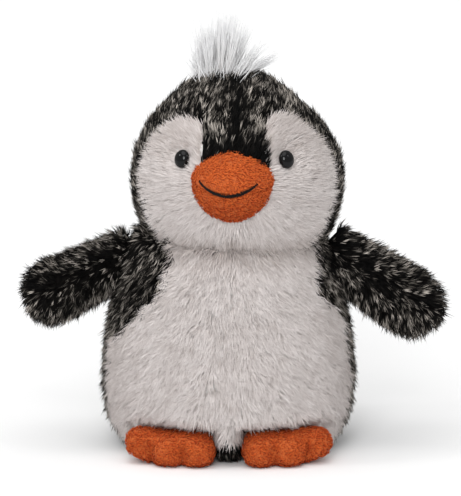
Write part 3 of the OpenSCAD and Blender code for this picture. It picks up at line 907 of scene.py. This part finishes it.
def tube(path, radius):
    """The points of a round thread along a path, ring by ring, drawn in at both ends."""
    ahead = unit(np.gradient(path, axis=0))
    up = across(np.broadcast_to(TO_BEAK @ np.array([0, -1.0, 0.2]), path.shape), ahead)
    out = np.cross(ahead, up)
    a = np.linspace(0, 2 * math.pi, THREAD_SIDES, endpoint=False)[None, :, None]
    ring = np.cos(a) * up[:, None] + np.sin(a) * out[:, None]
    taper = np.sqrt(np.clip(1 - np.linspace(-0.99, 0.99, len(path)) ** 4, 0, 1))
    return (path[:, None] + ring * radius * taper[:, None, None]).reshape(-1, 3)


def smile_line(at):
    """Height of the smile above the mouth line in millimetres, from its middle (0) to its ends (1)."""
    return 3.5 * np.abs(at) ** 1.5


def make_smile():
    """Satin stitches laid side by side across the mouth line, longest in the middle."""
    rng = np.random.default_rng(7)
    t = np.linspace(-1, 1, 7)
    verts = []
    for at in np.linspace(-1, 1, STITCHES):
        half = (0.38 + 0.50 * math.sin(math.pi * min(1, 0.15 + abs(at))) * rng.uniform(0.85, 1.15)) * MM
        phi = np.radians(SMILE_HALF * at + SMILE_SHIFT + t * 2.2 * (half / MM) + rng.normal() * 0.3)
        out = BEAK_R + (0.25 + 0.55 * (1 - t ** 2)) * MM
        rise = smile_line(at) * MM
        out = out * math.sqrt(1 - (rise / BEAK_DOME_H) ** 2)
        local = np.stack([out * np.sin(phi), -out * np.cos(phi), rise - t * half], 1)
        verts.append(tube(local @ TO_BEAK.T + BEAK_AT, THREAD_R))
    count = verts[0].shape[0]
    quads = np.concatenate([grid_faces(len(t), THREAD_SIDES) + i * count for i in range(STITCHES)])
    smile = new_mesh("smile_stitches", np.concatenate(verts), quads)
    dress(smile, thread, "head", "black_thread", "mouth_stitch")


# ---- Eyes ----

def lathe(name, profile, turned, at, steps=64):
    """A turned shape from (radius, height) pairs, about the local Z axis."""
    a = np.linspace(0, 2 * math.pi, steps, endpoint=False)
    rings = np.stack([np.stack([r * np.cos(a), r * np.sin(a), z + 0 * a], 1) for r, z in profile])
    return new_mesh(name, rings.reshape(-1, 3) @ turned.T + at, grid_faces(len(profile), steps))


def make_eyes():
    """Domed beads, a little taller than wide, set into the hollows of the face."""
    radius, rim, rise = 3.8, 0.75, 2.35
    around = np.radians(np.linspace(0, 88, 22))
    dome = [(radius * math.cos(a), rim + rise * math.sin(a)) for a in around]
    edge = [(0.3, -0.3), (3.0, -0.3), (3.6, -0.1), (3.88, 0.35)]
    profile = np.array(edge + dome) * MM
    narrow, tall = 0.93, 1.07
    for side in (-1, 1):
        z = TO_HEAD @ eye_direction(side)
        x = unit(np.cross([0, 0, 1.0], z))
        turned = np.stack([x * narrow, np.cross(z, x) * tall, z], 1)
        eye = lathe(f"eye_{SIDE_NAME[side]}_bead", profile, turned, HEAD_AT + z * (HEAD_R + 0.2 * MM))
        dress(eye, bead, "head", "eye_plastic", f"eye_{SIDE_NAME[side]}")


# ---- Hair tuft ----

def make_tuft():
    """Wisps of long hair that fan out from the crown, longest in the middle."""
    rng = np.random.default_rng(31)
    wisps = [(-15.5, 0.0, -4.0, 22.0), (-14.0, 2.0, -2.0, 28.0), (-12.0, -3.0, 0.0, 25.0),
             (-10.0, 3.0, 3.0, 28.0), (-8.0, -2.0, 6.0, 32.0), (-6.5, 2.0, 9.0, 30.0),
             (-5.0, -3.0, 12.0, 31.0), (-3.5, 3.0, 20.0, 25.0), (-2.0, -1.0, 38.0, 20.0),
             (-1.0, 1.0, 62.0, 19.0), (-11.0, 5.0, -3.0, 24.0), (-14.5, 4.0, -18.0, 14.0)]
    steps, crown_r = 7, 46.0
    t = np.linspace(0, 1, steps)[:, None]
    lines, levels = [], []

    def hair(x, y, lean, long, bunch):
        """One hair rooted near x, y; bunch is 1 in a wisp and 0 for the loose hair between wisps."""
        root = np.array([x, y, 0]) + rng.normal(size=3) * [1.6, 2.4, 0] * (1.3 - bunch)
        root[2] = math.sqrt(max(crown_r ** 2 - root[0] ** 2 - root[1] ** 2, 0)) - 2.8
        aim = math.radians(lean + rng.normal() * (3 if bunch else 13))
        tilt = rng.normal() * 0.16 - 0.05
        ahead = unit(np.array([math.sin(aim), tilt, math.cos(aim)]))
        start = unit(ahead * 0.75 + unit(root) * 0.35)
        curl = np.array([rng.normal() * 1.2 + 1.5 * math.sin(aim), rng.normal() * 1.2, -0.6])
        lines.append(root + start * long * 0.45 * t + ahead * long * 0.55 * t ** 1.4 + curl * t ** 2)
        levels.append(np.clip(0.55 + 0.3 * rng.normal(), 0, 0.99))

    for x, y, lean, long in wisps:
        for _ in range(64):
            hair(x, y, lean, (long + 4) * rng.uniform(0.55, 1.0) ** 0.7, 1)
    for _ in range(700):
        x = rng.uniform(-16, 0)
        hair(x, rng.uniform(-6, 6), (x + 12) * 2.6, rng.uniform(6, 17), 0)
    lines = np.array(lines)
    ahead = unit(np.gradient(lines, axis=1))
    side = across(np.broadcast_to(np.array([0.0, 1.0, 0.0]), ahead.shape), ahead)
    other = np.cross(ahead, side)
    a = np.radians([0, 120, 240])[None, None, :, None]
    ring = np.cos(a) * side[:, :, None] + np.sin(a) * other[:, :, None]
    thin = (0.17 * (1 - t[:, 0] ** 3) + 0.03)[None, :, None, None]
    verts = lines[:, :, None] + ring * thin
    hairs = len(lines)
    quads = grid_faces(steps, 3)
    faces = (np.arange(hairs)[:, None, None] * steps * 3 + quads).reshape(-1, 4)
    u = (np.floor(np.array(levels) * SHADES) + 0.1) / SHADES
    v_of = np.repeat(t[:, 0], 3)
    corner_u = np.array([0, 0.8, 0.8, 0]) / SHADES
    uv = np.stack([np.broadcast_to(u[:, None, None], (hairs, *quads.shape)) + corner_u,
                   np.broadcast_to(v_of[quads], (hairs, *quads.shape))], -1)
    tuft = new_mesh("tuft_hair", from_head(verts.reshape(-1, 3) * MM), faces, uv.reshape(-1, 2))
    dress(tuft, snow_hair, "head", "white_hair", "hair_tuft")


# ---- Feet ----

def foot_form():
    """A foot in its own axes: a flat slab with three scalloped toes at -Y, the outer one (+X) lifted."""
    theta = np.linspace(0, 2 * math.pi, 150, endpoint=False)
    d = np.stack([np.cos(theta), np.sin(theta)], 1)
    centre, half = np.array([0, -7.0]), np.array([18.3, 7.6])
    toes = (((-13.2, -13.0), 6.9), ((0.2, -14.8), 7.2), ((13.9, -10.4), 6.9))    # middles and radii
    reach = (half / np.maximum(np.abs(d), 1e-6)).min(1)
    for toe, r in toes:
        at = np.array(toe) - centre
        along = d @ at
        hit = along ** 2 - at @ at + r ** 2
        reach = np.maximum(reach, np.where(hit > 0, along + np.sqrt(np.maximum(hit, 0)), 0))
    reach = (np.roll(reach, 1) + 2 * reach + np.roll(reach, -1)) / 4
    v = np.radians(np.linspace(-84, 84, 40))[:, None]
    wide = np.cos(v) ** 0.26
    plain = reach
    for _ in range(60):
        plain = (np.roll(plain, 1) + 2 * plain + np.roll(plain, -1)) / 4
    reach = reach + (plain - reach) * smooth(np.degrees(v), -10, 60)
    x = centre[0] + reach * d[:, 0] * wide
    y = centre[1] + reach * d[:, 1] * wide
    height = 13.2 - 1.6 * smooth(-y, 8, 22)
    z = 0.7 + height / 2 * (1 + np.sign(np.sin(v)) * np.abs(np.sin(v)) ** 0.65)
    z += smooth(x, 3, 19) * smooth(-y, -4, 12) * (3.0 - 0.10 * z)
    return stuffed(np.stack([x, y, z], -1) * MM, 1.0 * MM, 2.0, 0.5 * MM)


FOOT = foot_form()


def make_foot(side):
    """A foot's upper and sole, and its terry loops."""
    name = SIDE_NAME[side]
    turned = np.diag([side, 1, 1]) @ turn("Z", FOOT_SPLAY)
    at = np.array([FOOT_AT[side][0], FOOT_AT[side][1], 0])
    skin = FOOT.moved(turned, at)
    body = f"foot_{name}"

    def local(p):
        return (p - at) @ turned / MM

    for part, top in (("upper", True), ("sole", False)):
        cloth = new_mesh(f"{body}_{part}_cloth", *skin.part(lambda p: (local(p)[:, 2] > 2.5) == top))
        dress(cloth, terry_cloth, body, "orange_terry", f"{body}_{part}", f"{body}_stuffing")

    def shade(p):
        q = local(p)
        # Painted shade: the terry is darker near the bottom, where the foot meets the floor.
        low = 0.45 * smooth(-q[:, 2], -3.5, -0.5)
        front = 0.15 * smooth(-q[:, 1], 14, 21)
        return np.clip(0.36 + front - low + terry_grain(p), 0, 1)

    def keep(p):
        return (p[:, 2] > 0.9 * MM) & (local(p)[:, 1] < -1.0)

    terry(f"{body}_terry", skin, keep, np.array([1.0, 0, 0.1]), shade, body, 1.75)


make_beak()
make_eyes()
make_tuft()
for SIDE in (-1, 1):
    make_foot(SIDE)


# ---- Filling, and the CAD nodes that stay ----

def fill(name, skin, body, node):
    """Fibre filling just inside a skin, lumpy where the fibres ball up."""
    lumps = 0.5 * MM * wobble(skin.verts, 6 * MM, 61)
    verts = skin.verts - skin.normals * (FILLING_INSET + lumps)[:, None]
    verts[:, 2] = np.maximum(verts[:, 2], FILLING_INSET)
    piece = dress(new_mesh(name, verts, skin.quads), filling, body, "polyester_filling", node)


def lump(name, node, size, material, body, slot):
    """A soft rounded lump within a node's box, in that node's place."""
    low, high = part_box(node)
    half = (high - low) / 2 * size
    el = np.radians(np.linspace(-88, 88, 30))[:, None]
    az = np.radians(np.arange(0, 360, 6))[None, :]
    d = np.stack([np.cos(az) * np.cos(el), np.sin(az) * np.cos(el), np.sin(el) + 0 * az], -1).reshape(-1, 3)
    bulge = 1 + 0.03 * wobble(d, 1.1, 71)[:, None]
    points = np.sign(d) * np.abs(d) ** 0.8 * bulge * np.array(half) + np.array((low + high) / 2)
    piece = dress(new_mesh(name, points, grid_faces(30, 60)), material, body, slot, node)


def make_label():
    """A blank satin label whose loose end curls away from the back."""
    low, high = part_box("care_label")
    rows, cols = 20, 14
    u = np.linspace(0, 1, rows)[:, None]
    v = np.linspace(0, 1, cols)[None, :]
    x = low.x + (high.x - low.x) * v + 0 * u
    z = high.z + (low.z - high.z) * u + 0.4 * MM * np.sin(v * 3.1)
    y = low.y - 1.2 * MM + 3.0 * MM * u ** 1.6 - 0.9 * MM * np.sin(v * math.pi) * u
    front = np.stack([x, y + 0.35 * MM, z], -1)
    back = np.stack([x, y, z], -1)[:, ::-1]
    points = np.concatenate([front, back], 1).reshape(-1, 3)
    label = new_mesh("care_label_satin", points, grid_faces(rows, 2 * cols))
    dress(label, label_satin, "torso", "label_satin", "care_label")


FILLING_INSET = 3.0 * MM
filling = cloth_material("white_filling", (0.78, 0.77, 0.75), (0.92, 0.91, 0.90), 260, 0.95)
pouch = cloth_material("pouch_weave", (0.70, 0.68, 0.64), (0.84, 0.82, 0.78), 2200, 0.85)
pellets = cloth_material("pellet_plastic", (0.55, 0.56, 0.56), (0.80, 0.81, 0.82), 700, 0.35)
washer = cloth_material("washer_plastic", (0.62, 0.62, 0.60), (0.70, 0.70, 0.68), 1500, 0.4)

make_label()
fill("head_filling", HEAD, "head", "head_stuffing")
fill("body_filling", BODY, "torso", "body_stuffing")
lump("neck_filling", "neck_stuffing", 0.9, filling, "neck", "polyester_filling")
lump("beak_filling", "beak_stuffing", 0.8, filling, "head", "polyester_filling")
lump("bean_bag", "bean_pouch", 1.0, pouch, "torso", "pouch_cloth")
KEPT = {"bean_fill": pellets, "eye_washer_right": washer, "eye_washer_left": washer}
for node, obj in frame["nodes"].items():
    if not obj.hide_render:
        obj.data.materials.clear()
        obj.data.materials.append(KEPT.get(node, filling))
